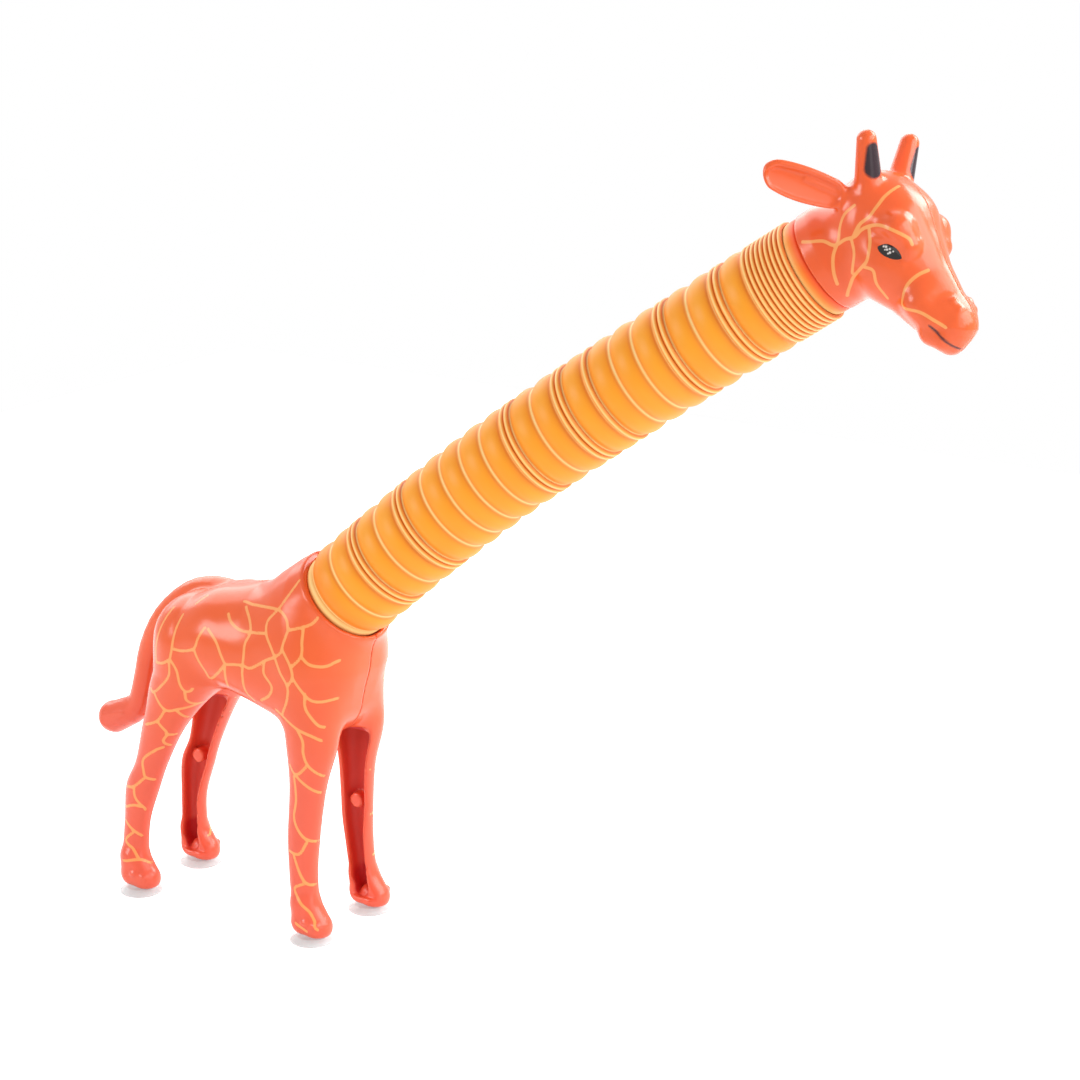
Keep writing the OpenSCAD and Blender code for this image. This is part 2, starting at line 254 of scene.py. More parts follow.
def hooves(p):
    """Blunt feet: the pastern widens forward into a toe, cut flat at the sole, with two bumps outside."""
    feet = []
    for x in FEET:
        heel, toe = (x - 1.9, -FOOT_Y, 5.8, 4.6), (x + 2.4, -FOOT_Y, 4.7, 4.3)
        top = (x - 2.0, -FOOT_Y, 11.0, 4.5)
        foot = melt(bone(p, heel, toe), melt(bone(p, top, toe), bone(p, top, heel), 0.5), 0.5)
        for bump in ((x + 0.4, -FOOT_Y - 4.0, 6.9, 1.1), (x + 3.4, -FOOT_Y - 3.3, 6.2, 1.1)):
            foot = melt(foot, bone(p, bump, (bump[0] + 0.7, *bump[1:])), 0.6)
        feet.append(foot)
    return -melt(-np.minimum(*feet), p[:, 2] - SOLE_Z, 1.4)


def body_outside(p):
    """Depth in the whole right half as if it were solid."""
    legs = np.minimum(stalk(p, FORE, 2, 0, LEG_FLAT), stalk(p, HIND, 2, 0, LEG_FLAT))
    return melt(melt(trunk(p, 0), legs, 3.0), hooves(p), 1.5)


def body_half(p):
    """The right half hollowed to its walls: each leg is open on its inner side, with a boss over the cup's stem
    and a post, and the neck rim is bored in two steps."""
    solid = body_outside(p)
    channel = stalk(p, FORE, 2, LEG_WALL, LEG_FLAT, True)
    channel = np.minimum(channel, stalk(p, HIND, 2, THIGH_WALL, LEG_FLAT, True))
    for x in FEET:
        foot = stalk(p, [(x - 0.8, -FOOT_Y, 7.4, 2.6), (x - 1.8, -FOOT_Y, 14, 2.4)], 2, 0, 0.8, True)
        boss = bone(p, (x, -FOOT_Y, 3.0, BOSS_R), (x, -FOOT_Y, BOSS_TOP, 2.6))
        channel = carve(melt(channel, foot, 0.6), boss, 0.5)
    hollow = np.minimum(trunk(p, BODY_WALL), -melt(-channel, CHANNEL_Z - p[:, 2], 2.0))
    form = carve(solid, hollow, 0.6)
    for x, z in POSTS:
        round_post = np.hypot(p[:, 0] - x, p[:, 2] - z) - POST_R
        round_post = np.maximum(round_post, np.abs(p[:, 1] - POST_Y) - POST_HALF)
        form = melt(form, np.maximum(round_post, solid + 0.4), 0.5)
    inner = np.interp(p[:, 2], INNER_Z, INNER_Y)
    between = -melt(p[:, 1] - inner, FORK_Z - p[:, 2], 3.0)
    form = carve(form, np.maximum(between, SOLE_Z + SOLE_THICK - p[:, 2]), 0.6)
    reach = (p - RIM) @ RIM_WAY
    out = np.linalg.norm(p - RIM - BORE_SHIFT - reach[:, None] * RIM_WAY, axis=1)
    mouth = np.maximum(out - MOUTH_R, -MOUTH_DEEP - reach)
    bore = np.minimum(np.maximum(out - BORE_R, -BORE_DEEP - reach), mouth)
    return carve(form, bore, 0.5)


def body_seam(p):
    """Y of the face that meets the other shell; the joint opens to a thin gap down the breast."""
    return np.interp(p[:, 0], SEAM_X, SEAM_Y)


def settle(form, p, most, free=(1, 1, 1)):
    """Points slid along the gradient onto the skin in three rounds, no further than most in each; free is 0 on
    an axis that they keep their place on."""
    probe = 0.03
    for _ in range(3):
        here = form(p)
        way = np.stack([form(p + step) - here for step in np.eye(3) * probe], 1) / probe * free
        move = here / np.maximum((way * way).sum(1), 0.2)
        p = p - np.clip(move, -most, most)[:, None] * way
    return p


def skin(whole, seam, low, high, step):
    """Closed skin where a form's depth is zero, cut off by a seam face: one point in each grid cell that it
    crosses, at the mean of its crossings, and a face round each crossed grid edge. The grid is shifted so that
    the seam runs through the middle of a layer of cells, and depth is first read on every fourth line of it,
    and in full only near the skin. Points then settle onto the form, and those of the cut onto the seam, with
    its rim sharp. Also gives which faces are smooth."""
    form = lambda p: np.maximum(whole(p), p[:, 1] - seam(p))
    low = (low[0], SEAM_MIDDLE - (np.ceil(-low[1] / step) + 0.5) * step, low[2])
    sides = [np.arange(lo, hi + step, step) for lo, hi in zip(low, high)]
    spots = np.stack(np.meshgrid(*sides, indexing="ij"), -1)
    rough = spots[::4, ::4, ::4]
    depth = form(rough.reshape(-1, 3)).reshape(rough.shape[:3])
    for axis in range(3):
        depth = np.repeat(depth, 4, axis).take(np.arange(spots.shape[axis]), axis)
    near = np.abs(depth) < 9 * step
    depth[near] = form(spots[near])
    cells = np.array(depth.shape) - 1
    place, hits, edges = np.zeros((*cells, 3)), np.zeros(cells), []
    for axis in range(3):
        u, v = (axis + 1) % 3, (axis + 2) % 3
        here, there = [slice(None)] * 3, [slice(None)] * 3
        here[axis], there[axis] = slice(0, -1), slice(1, None)
        a, b = depth[tuple(here)], depth[tuple(there)]
        cross = (a < 0) != (b < 0)
        share = np.where(cross, a / np.where(cross, a - b, 1), 0)
        where = spots[tuple(here)].copy()
        where[..., axis] += share * step
        where *= cross[..., None]
        for du in (0, 1):
            for dv in (0, 1):
                part = [slice(None)] * 3
                part[u], part[v] = slice(du, du + cells[u]), slice(dv, dv + cells[v])
                place += where[tuple(part)]
                hits += cross[tuple(part)]
        edges.append((axis, u, v, cross, a < 0))
    number = np.full(cells, -1)
    number[hits > 0] = np.arange((hits > 0).sum())
    faces = []
    for axis, u, v, cross, rising in edges:
        spot = np.array(np.nonzero(cross))
        spot = spot[:, (spot[u] > 0) & (spot[v] > 0) & (spot[u] < cells[u]) & (spot[v] < cells[v])]
        quad = []
        for du, dv in ((1, 1), (0, 1), (0, 0), (1, 0)):
            cell = spot.copy()
            cell[u] -= du
            cell[v] -= dv
            quad.append(number[tuple(cell)])
        quad = np.stack(quad, 1)
        out = rising[tuple(spot)]
        faces.append(np.where(out[:, None], quad, quad[:, ::-1]))
    points, faces = place[hits > 0] / hits[hits > 0][:, None], np.concatenate(faces)
    flat = np.abs(points[:, 1] - seam(points)) < 0.5 * step
    points[~flat] = settle(whole, points[~flat], 0.5 * step)
    points[flat, 1] = seam(points[flat])
    rim = np.nonzero(flat)[0][np.abs(whole(points[flat])) < 0.9 * step]
    points[rim] = settle(whole, points[rim], 0.5 * step, (1, 0, 1))
    return points, faces, ~flat[faces].all(1)


# Side view points (x, z) in mm of the printed net on the right side.
NET = [
    [(-13.2, 93.5), (-14.1, 89.0), (-14.7, 84.0), (-15.5, 80.1)],
    [(-18.8, 94.2), (-20.2, 90.4), (-21.8, 85.2), (-22.7, 81.2), (-22.7, 77.4)],
    [(-22.7, 77.3), (-18.7, 78.2), (-15.5, 80.1)],
    [(-14.6, 83.5), (-10.2, 83.7), (-5.4, 85.5), (-3.8, 89.0), (-2.0, 92.3)],
    [(-0.7, 92.1), (3.0, 88.9), (4.9, 85.5), (6.3, 82.7)],
    [(-5.4, 85.5), (-4.4, 82.6), (-2.8, 78.8), (-1.9, 76.0), (2.7, 79.1), (6.3, 82.7)],
    [(-15.5, 80.1), (-13.3, 77.1), (-12.3, 73.2), (-11.1, 70.6), (-9.5, 70.7), (-8.4, 71.7)],
    [(-15.9, 79.0), (-16.3, 74.9), (-18.9, 71.6), (-23.4, 67.9), (-25.6, 68.3)],
    [(-11.2, 70.1), (-11.6, 67.1), (-10.0, 65.6), (-7.0, 66.6)],
    [(-23.4, 67.9), (-18.9, 63.2), (-14.8, 63.8), (-12.0, 64.6), (-9.6, 65.6)],
    [(6.3, 82.7), (4.5, 74.7)],
    [(6.3, 82.7), (12.7, 83.6), (16.0, 83.3), (22.1, 86.9), (25.7, 88.6)],
    [(9.6, 99.4), (13.3, 96.8), (15.0, 93.7), (13.6, 90.2), (13.4, 86.0), (12.4, 79.7), (12.0, 74.7),
     (13.8, 71.7)],
    [(4.4, 96.8), (6.6, 95.0), (10.4, 93.6), (15.0, 93.7), (21.5, 94.7)],
    [(21.4, 86.2), (20.9, 82.5), (23.3, 78.8), (21.4, 75.4), (17.3, 72.8)],
    [(-7.4, 99.2), (-8.8, 97.9), (-9.7, 96.9)],
    [(30.2, 111.0), (25.4, 103.0), (21.4, 98.3), (21.6, 94.6), (23.8, 91.4), (25.6, 88.7)],
    [(7.7, 100.3), (11.9, 100.4), (14.6, 100.8), (24.5, 102.0), (28.4, 100.3), (29.7, 97.1)],
    [(29.7, 97.1), (34.3, 98.6), (36.9, 99.8), (38.8, 101.9)],
    [(29.7, 97.1), (28.6, 93.1), (27.7, 90.2), (25.6, 88.7)],
    [(34.5, 98.7), (34.5, 94.6), (34.7, 90.2), (31.9, 86.7)],
    [(34.7, 90.2), (36.9, 88.1), (39.4, 87.4), (41.3, 87.5), (42.7, 88.4), (43.5, 88.8)],
    [(28.4, 91.4), (31.4, 87.2), (32.1, 83.6), (29.7, 80.2)],
    [(25.6, 88.7), (27.7, 84.3), (29.7, 80.2), (28.8, 75.4), (26.1, 70.2)],
    [(32.1, 83.6), (34.2, 79.7), (36.5, 76.9), (39.1, 76.3), (42.2, 76.9)],
    [(35.2, 78.7), (35.0, 74.3), (36.6, 71.2), (38.3, 69.0), (39.6, 68.4)],
    [(23.3, 71.3), (26.1, 70.2), (31.7, 67.4), (36.3, 65.8), (39.0, 64.4)],
    [(32.1, 67.0), (33.9, 63.8), (33.9, 60.0), (34.9, 56.4), (38.0, 52.6)],
    [(34.9, 56.4), (31.9, 53.3), (29.7, 52.7), (27.8, 54.9)],
    [(29.7, 52.7), (33.4, 49.8), (37.4, 46.6)],
    [(29.5, 51.9), (30.0, 44.5), (29.3, 38.4), (32.2, 33.5), (35.6, 31.4)],
    [(33.4, 31.7), (31.1, 27.8), (27.0, 27.8)],
    [(29.2, 26.9), (31.3, 21.8), (33.1, 18.9), (35.3, 17.9)],
    [(33.1, 18.9), (29.4, 16.6), (32.0, 13.1), (35.3, 10.0), (38.1, 5.5)],
    [(30.6, 6.3), (34.6, 4.4)],
    [(-19.0, 63.1), (-22.3, 59.0), (-27.6, 56.6)],
    [(-22.3, 59.0), (-20.1, 55.9), (-19.9, 54.6), (-16.6, 54.4)],
    [(-19.9, 54.6), (-21.5, 52.0), (-19.4, 49.4)],
    [(-15.5, 63.4), (-13.6, 59.4)],
    [(-22.0, 50.0), (-24.4, 48.8), (-29.1, 45.0), (-29.1, 40.8), (-28.6, 39.3), (-26.5, 38.4)],
    [(-28.6, 39.3), (-32.8, 35.7), (-36.4, 34.7)],
    [(-32.8, 35.7), (-32.8, 32.3), (-30.8, 28.9), (-30.5, 27.9)],
    [(-30.8, 28.9), (-33.7, 29.2), (-37.4, 27.7)],
    [(-37.7, 23.1), (-34.0, 20.4), (-32.2, 19.0)],
    [(-34.0, 20.4), (-37.5, 16.9), (-34.4, 14.7), (-32.3, 11.5)],
    [(-37.4, 10.6), (-32.3, 11.5), (-29.9, 9.6)],
]


def drop(form, flat, far, rounds):
    """Side view points moved to the left from far on the right until they meet the skin: each round goes on by
    0.6 of the depth that is left."""
    spot = np.stack([flat[:, 0], np.full(len(flat), far), flat[:, 1]], 1)
    for _ in range(rounds):
        spot[:, 1] += np.clip(0.6 * form(spot), -0.5, 1.5)
    return spot


def beside(form, line, far):
    """Points 0.3 mm apart along a side view line, laid on the skin, without those that miss it."""
    spot = drop(form, curve(line, 0.3), far, 70)
    return spot[np.abs(form(spot)) < 0.3]


def distance(points, marks):
    """Distance from each point to the nearest of the marks, a block of points at a time."""
    blocks = np.array_split(points.astype(np.float32), len(points) // 1500 + 1)
    near = [np.sqrt(((block[:, None] - marks[None]) ** 2).sum(-1).min(1)) for block in blocks]
    return np.concatenate(near)


BODY_FAR = -34.0
net_marks = np.concatenate([beside(body_outside, line, BODY_FAR) for line in NET]).astype(np.float32)

# Coral ABS, injection moulded in a polished tool: clear gloss, faint flow clouds about 25 mm wide and a
# waviness of about 5 mm, a little pinker down the legs, with pale orange pad-printed lines about 0.9 mm
# wide. The inside is unpolished and rougher, and is painted a deeper red that stands for the shade in the
# hollow shells and legs: painted shade. A pattern's scale is one over its size in metres.
COLOURS = {"data_type": "RGBA"}
FLOW_MM, WAVE_MM, INK_CORE_MM, INK_EDGE_MM = 25.0, 4.545, 0.34, 0.56
PINK_MM, CORAL_MM = 45.0, 85.0
coral, tree = blank("coral moulded ABS")
spot = put(tree, "TexCoord")
cloud = put(tree, "TexNoise", {"Vector": spot.outputs["Object"], "Scale": 1000 / FLOW_MM, "Detail": 2.0})
hue = put(tree, "Mix", {0: cloud.outputs["Fac"], 6: linear("#ef5924"), 7: linear("#f16730")}, **COLOURS)
tall = put(tree, "SeparateXYZ", {"Vector": spot.outputs["Object"]})
climb = {"From Min": PINK_MM / 1000, "From Max": CORAL_MM / 1000}
high = put(tree, "MapRange", {"Value": tall.outputs["Z"], **climb})
hue = put(tree, "Mix", {0: high.outputs[0], 6: linear("#f06043"), 7: hue.outputs[2]}, **COLOURS)
gap = put(tree, "Attribute", attribute_name="line")
span = {"From Min": INK_CORE_MM, "From Max": INK_EDGE_MM, "To Min": 1.0, "To Max": 0.0}
ink = put(tree, "MapRange", {"Value": gap.outputs["Fac"], **span})
hue = put(tree, "Mix", {0: ink.outputs[0], 6: hue.outputs[2], 7: linear("#f9a45c")}, **COLOURS)
# Painted shade: the inside mark mixes the hollow of the shells to a deeper red.
inside = put(tree, "Attribute", attribute_name="inside")
hue = put(tree, "Mix", {0: inside.outputs["Fac"], 6: hue.outputs[2], 7: linear("#c61d1a")}, **COLOURS)
rough = put(tree, "MapRange", {"Value": ink.outputs[0], "To Min": 0.23, "To Max": 0.3})
dull = {0: inside.outputs["Fac"], 1: 0.4, 2: rough.outputs[0]}
rough = put(tree, "Math", dull, operation="MULTIPLY_ADD")
wave = put(tree, "TexNoise", {"Vector": spot.outputs["Object"], "Scale": 1000 / WAVE_MM, "Detail": 1.0})
bump = put(tree, "Bump", {"Height": wave.outputs["Fac"], "Strength": 0.06, "Distance": 0.0006})
finish = {"Roughness": rough.outputs[0], "IOR": 1.53, "Specular IOR Level": 0.4, "Normal": bump.outputs[0]}
gloss = put(tree, "BsdfPrincipled", {"Base Color": hue.outputs[2], **finish})
put(tree, "OutputMaterial", {"Surface": gloss.outputs[0]})

BODY_STEP, UNMARKED = 0.62, 9.0
BODY_LOW, BODY_HIGH = (-48, -25, 0.6), (57, 0.8, 124)


def body_piece(name, form, outside, low, flip):
    """One body shell from its form, marked with its distance from the net lines and with how far it is inside
    the shell, which sets the painted shade of the hollow, kept off the post ends and the bosses; flip is -1
    for the left one, which is worked out on the right and turned over."""
    points, faces, smooth = skin(form, body_seam, low, BODY_HIGH, BODY_STEP)
    line = np.full(len(points), UNMARKED)
    buried = -outside(points)
    outer = np.abs(buried) < 0.25
    line[outer] = distance(points[outer], net_marks)
    # Painted shade of the hollow: deeper red from 1 mm under the outer skin, left off the post ends and mostly
    # off the bosses over the cup stems, where light falls.
    inside = np.clip(buried - 1.0, 0, 1)
    for x, z in POSTS:
        inside *= np.hypot(points[:, 0] - x, points[:, 2] - z) > POST_R + 0.3
    for x in FEET:
        off = np.linalg.norm((points - (x, -FOOT_Y, BOSS_TOP)) * (1, 1, 0.9), axis=1)
        inside *= np.clip(off - 2.5, 0.3, 1)
    points = (points * (1, flip, 1) - MIDDLE) / 1000
    made = mesh_object(name, points, faces[:, ::flip], coral, smooth, line=line, inside=inside)
    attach(made, "torso")
    return made


made = body_piece("body_shell_right", body_half, body_outside, BODY_LOW, 1)
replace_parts(made, "body_right_shell")

# Left body shell: the mirror of the right one in the same coral ABS, moulded in one with the tail, which
# hangs behind the haunch and ends in a round tuft. It is glued to the right shell.

TAIL = [(-7, -6.0, 93.4, 5.4), (-17, -5.8, 94.2, 5.4), (-26.2, -5.4, 91.9, 5.0), (-36.2, -4.8, 83.8, 4.5),
        (-42.8, -4.8, 73.0, 4.2), (-46.2, -4.8, 61.0, 4.1), (-49.6, -4.8, 52.4, 4.3), (-59.6, -4.8, 46.6, 5.1)]
TAIL_LOW = (-67.5, *BODY_LOW[1:])


def tail(p):
    """Stalk with a tuft: round bones along a smooth line from the top of the rump."""
    form = bone(p, TAIL[-1], (TAIL[-1][0] - 0.5, *TAIL[-1][1:]))
    line = curve(TAIL, 5.0)
    for a, b in zip(line, line[1:]):
        form = np.minimum(form, bone(p, a, b))
    return form


def body_left(p):
    """The right half's form with the tail joined to its haunch."""
    hung = carve(tail(p), trunk(p, BODY_WALL), 0.5)
    return melt(body_half(p), hung, 1.2)


def body_left_outside(p):
    """Depth in the left half and its tail as if they were solid."""
    return np.minimum(body_outside(p), tail(p))


made = body_piece("body_shell_left", body_left, body_left_outside, TAIL_LOW, -1)
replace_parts(made, "body_left_shell")

# Suction cups: clear soft PVC bells with a flat lip, moulded in one with a stem and knob. The stem is
# pushed into the sole of each foot.


def turned(profile, count, middle, way=(0, 0, 1)):
    """A profile of (radius, height) carried round an axis, as points and faces; the ring at each end is closed
    by a strip of faces laid across it."""
    way = np.asarray(way, float) / np.linalg.norm(way)
    side = np.cross((0, 0, 1), way) if abs(way[2]) < 0.99 else np.array([1.0, 0, 0])
    side /= np.linalg.norm(side)
    up = np.cross(way, side)
    r, z = np.asarray(profile, float).T
    turn = 2 * np.pi * np.arange(count) / count
    ring = np.cos(turn)[:, None] * side + np.sin(turn)[:, None] * up
    points = np.asarray(middle) + z[:, None, None] * way + r[:, None, None] * ring[None]
    j = np.arange(count // 2 - 1)
    lid = np.stack([j, j + 1, count - 2 - j, count - 1 - j], 1)
    faces = [lattice(len(r), count), lid[:, ::-1], lid + (len(r) - 1) * count]
    return points.reshape(-1, 3), np.concatenate(faces)


def lattice(rows, count, shut=False):
    """Faces of a grid of rows, each a ring of count points; shut joins the last row to the first."""
    i, j = np.meshgrid(np.arange(rows if shut else rows - 1), np.arange(count), indexing="ij")
    k, n = (i + 1) % rows, (j + 1) % count
    return np.stack([i * count + j, i * count + n, k * count + n, k * count + j], -1).reshape(-1, 4)


# Clear PVC, moulded: soft, slightly milky, with a wet gloss that a haze about 3.3 mm wide breaks up.
HAZE_MM = 10 / 3
vinyl, tree = blank("clear soft PVC")
spot = put(tree, "TexCoord")
haze = put(tree, "TexNoise", {"Vector": spot.outputs["Object"], "Scale": 1000 / HAZE_MM, "Detail": 1.0})
rough = put(tree, "MapRange", {"Value": haze.outputs["Fac"], "To Min": 0.06, "To Max": 0.16})
finish = {"Roughness": rough.outputs[0], "IOR": 1.45, "Alpha": 0.42}
clear = put(tree, "BsdfPrincipled", {"Base Color": linear("#dde3e4"), **finish})
put(tree, "OutputMaterial", {"Surface": clear.outputs[0]})

CUP = [(0.02, 0.9), (2.6, 0.8), (4.2, 0.5), (5.2, 0.1), (5.4, 0.0), (6.3, 0.0), (6.5, 0.15), (6.5, 0.4),
       (6.0, 0.8), (5.2, 1.3), (4.8, 1.6), (4.4, 1.68), (1.9, 1.7), (1.7, 2.2), (1.7, 4.6), (2.2, 5.2),
       (2.2, 6.2), (1.2, 7.3), (0.02, 7.4)]
CUP_AROUND = 72
for end, x in zip(("front", "rear"), FEET):
    for side, y in (("right", -FOOT_Y), ("left", FOOT_Y)):
        points, faces = turned(curve(CUP, 0.5), CUP_AROUND, (x, y, 0))
        made = mesh_object(f"cup_{end}_{side}", (points - MIDDLE) / 1000, faces, vinyl)
        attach(made, "torso")
        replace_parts(made, f"suction_cup_{end}_{side}")

# Neck tube: one blow-moulded polypropylene tube of ribs that pop between open barrels and thin folded
# ridges. A collar at one end sits in the body's neck rim, and the head turns on the plain one at the other.

# Ribs by letter: E stands open, C is folded and T is folded tight. Each run of ribs climbs at its own angle.
PITCH = {"E": 7.6, "C": 1.78, "T": 1.5}
ROOT_R, DEEP, WALL, COLLAR = 13.3, 1.4, 0.36, 6.5
OPEN_POINTS, FOLDED_POINTS, ROUND = 31, 15, 2.3
START_RISE, START_LEAN, START_GAP = 43.3, 5.0, 1.6
RUNS = ["E", "ECCE", "E", "CCEEE", "E", "ECCE", "E", "CCECE", "E", "ECCE", "E", "CCETTTTTTTTT"]
RISE = np.array([42.6, 41.6, 41, 39.8, 38, 36.6, 36, 35.5, 35, 34.6, 34.5, 34.5])
LEAN = np.array([8, 10.5, 12, 12, 12, 12, 12, 12, 12, 12, 12, 12.0])


def heading(rise, lean):
    """Unit vector at an upward angle and a lean to the left, in degrees."""
    e, a = np.radians(rise), np.radians(lean)
    return np.stack([np.cos(e) * np.cos(a), np.cos(e) * np.sin(a), np.sin(e)], -1)


pitch = [sum(PITCH[c] for c in run) for run in RUNS]
start = heading(START_RISE, START_LEAN)
stations = [RIM + START_GAP * start]
for length, way in zip(pitch, heading(RISE, LEAN)):
    stations.append(stations[-1] + length * way)
stations = np.array(stations)
courses = heading(RISE, LEAN)
tangents = np.concatenate([[start], (courses[:-1] + courses[1:]) / 2, [courses[-1]]])
tangents /= np.linalg.norm(tangents, axis=1)[:, None]


def bell(x, wide):
    """A bell curve: 1 at zero, and 1/e at the width to either side."""
    return np.exp(-((x / wide) ** 2))


def rib_outline(run):
    """Heights and radii of a run of ribs with how whitened and highlighted, how shaded and how warm each point
    is: an open rib is a low barrel, deeper orange near its ends, with a fine bead of stress-whitened plastic
    in the fold at each end that also carries a painted highlight, and a thin line of painted shade beside it;
    a folded one is a whitened, highlighted ridge between two creases with painted shade. Points crowd
    towards the folds as a cosine."""
    ribs, base = [], 0.0
    for n, c in enumerate(run, 1):
        t = 0.5 - 0.5 * np.cos(np.pi * np.linspace(0, 1, OPEN_POINTS if c == "E" else FOLDED_POINTS))
        edge = np.minimum(t, 1 - t) * PITCH[c]
        if c == "E":
            rise = 1 - np.abs(2 * t - 1) ** ROUND + 0.22 * bell(edge, 0.3)
            pale, dark, warm = bell(edge, 0.36), 0.45 * bell(edge - 0.72, 0.24), 0.2 * bell(edge, 1.7)
        else:
            rise = 1 - 0.5 * np.abs(2 * t - 1) ** ROUND
            pale, dark, warm = 0.9 * bell((t - 0.5) * PITCH[c], 0.34), bell(edge, 0.3), np.full_like(t, 0.1)
        rib = np.stack([base + t * PITCH[c], ROOT_R + DEEP * rise, pale, dark, warm])
        ribs.append(rib[:, : len(t) - (n < len(run))])
        base += PITCH[c]
    return np.concatenate(ribs, 1)


def swept(k, z, r, count):
    """Rings of radius r at heights z on the smooth cubic spine from station k to k + 1."""
    t = (z / pitch[k])[:, None]
    a, b, va, vb = stations[k], stations[k + 1], tangents[k] * pitch[k], tangents[k + 1] * pitch[k]
    spine = (2 * t**3 - 3 * t**2 + 1) * a + (t**3 - 2 * t**2 + t) * va
    spine += (3 * t**2 - 2 * t**3) * b + (t**3 - t**2) * vb
    way = (6 * t**2 - 6 * t) * (a - b) + (3 * t**2 - 4 * t + 1) * va + (3 * t**2 - 2 * t) * vb
    way /= np.linalg.norm(way, axis=1)[:, None]
    side = np.cross([0, 0, 1], way)
    side /= np.linalg.norm(side, axis=1)[:, None]
    up = np.cross(way, side)
    turn = 2 * np.pi * np.arange(count) / count
    ring = np.cos(turn)[None, :, None] * side[:, None] + np.sin(turn)[None, :, None] * up[:, None]
    return (spine[:, None] + r[:, None, None] * ring).reshape(-1, 3)


# Orange polypropylene, blow moulded: a satin, slightly waxy skin with clouds about 18 mm wide and ripples of
# about 4 mm. The folds are stress-whitened, with a painted highlight laid along them and on the collar lips,
# the creases beside folded ribs carry painted shade, and the coral inside both ends shows through as a
# warmer orange.
CLOUD_MM, RIPPLE_MM = 18.18, 3.846
orange, tree = blank("orange blow-moulded polypropylene")
spot = put(tree, "TexCoord")
cloud = put(tree, "TexNoise", {"Vector": spot.outputs["Object"], "Scale": 1000 / CLOUD_MM, "Detail": 2.0})
hue = put(tree, "Mix", {0: cloud.outputs["Fac"], 6: linear("#fb9a1c"), 7: linear("#fda826")}, **COLOURS)
# Painted shade in the creases, then stress whitening with a painted highlight along the folds, over the orange.
for mark, code in (("warm", "#f9561e"), ("dark", "#e4742a"), ("pale", "#ffda8c")):
    share = put(tree, "Attribute", attribute_name=mark)
    hue = put(tree, "Mix", {0: share.outputs["Fac"], 6: hue.outputs[2], 7: linear(code)}, **COLOURS)
wave = put(tree, "TexNoise", {"Vector": spot.outputs["Object"], "Scale": 1000 / RIPPLE_MM, "Detail": 1.0})
rough = put(tree, "MapRange", {"Value": wave.outputs["Fac"], "To Min": 0.4, "To Max": 0.52})
bump = put(tree, "Bump", {"Height": wave.outputs["Fac"], "Strength": 0.08, "Distance": 0.0006})
finish = {"Roughness": rough.outputs[0], "IOR": 1.49, "Specular IOR Level": 0.4, "Normal": bump.outputs[0]}
satin = put(tree, "BsdfPrincipled", {"Base Color": hue.outputs[2], **finish})
put(tree, "OutputMaterial", {"Surface": satin.outputs[0]})

AROUND = 120


def tube_piece(name, points, **marks):
    """A closed tube wall from rings of points, with one value per ring for each colour mark."""
    around = {mark: np.repeat(values, AROUND) for mark, values in marks.items()}
    faces = lattice(len(points) // AROUND, AROUND, shut=True)
    made = mesh_object(name, (points - MIDDLE) / 1000, faces, orange, **around)
    return made


BASE = np.array([(12.2, -6), (12.8, -6), (12.8, -1.8), (13.5, -1.4), (13.65, -0.6), (13.75, 0.4), (13.65, 1.0),
                 (13.4, 1.5), (13.0, 1.6), (12.2, 1.5)])
points = turned(BASE, AROUND, RIM, start)[0]
# Stress whitening with a painted highlight along the ring's rounded lip.
pale = np.array([0, 0, 0, 0.2, 0.7, 1, 0.7, 0.4, 0, 0])
made = tube_piece("tube_base", points, pale=pale, dark=np.zeros(len(BASE)), warm=np.full(len(BASE), 0.3))
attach(made, "torso")
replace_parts(made, "neck_base_collar")

LAST = len(RUNS) - 1
for k, run in enumerate(RUNS):
    outside = rib_outline(run)
    z, r, pale, dark, warm = np.concatenate([outside, outside[:, ::-1]], 1)
    r[len(r) // 2 :] -= WALL
    if k == 0:
        warm = np.maximum(warm, np.clip(0.4 - 0.05 * z, 0, 1))
    elif k == LAST:
        warm = np.maximum(warm, np.clip(0.02 * (z - 8), 0, 0.3))
    points = swept(k, z, r, AROUND)
    made = tube_piece(f"tube_run_{k + 1}", points, pale=pale, dark=dark, warm=warm)
    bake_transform(made)
    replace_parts(made, f"neck_fold_{k + 1}", *([f"neck_ring_{k + 1}"] if k < LAST else []))

TOP = np.array([(12.7, -0.3), (13.3, -0.3), (13.65, 0.1), (13.8, 0.6), (13.8, 1.4), (13.8, 2.4), (13.75, 3.2),
                (13.75, COLLAR - 2.8), (12.6, COLLAR - 2.7), (12.6, COLLAR + 3.2), (12.0, COLLAR + 3.2),
                (12.0, COLLAR - 3.6), (12.7, COLLAR - 4.4)])
points = turned(TOP, AROUND, stations[-1], courses[-1])[0]
# Stress whitening with a painted highlight round the collar's rounded shoulder.
pale = np.r_[0, 0.3, 0.9, 0.45, 0.1, np.zeros(8)]
warm = np.r_[0.2, 0.2, 0.2, 0.25, 0.4, 0.75, 0.95, np.ones(6)]
made = tube_piece("tube_top", points, pale=pale, dark=np.zeros(len(TOP)), warm=warm)
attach(made, "neck_12")
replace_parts(made, "neck_top_collar")

# Head: two glued shells moulded in the same coral ABS, with the ears and horns in one piece with them.
# The eyes, the dark horn patches, the mouth line and the net lines are printed.

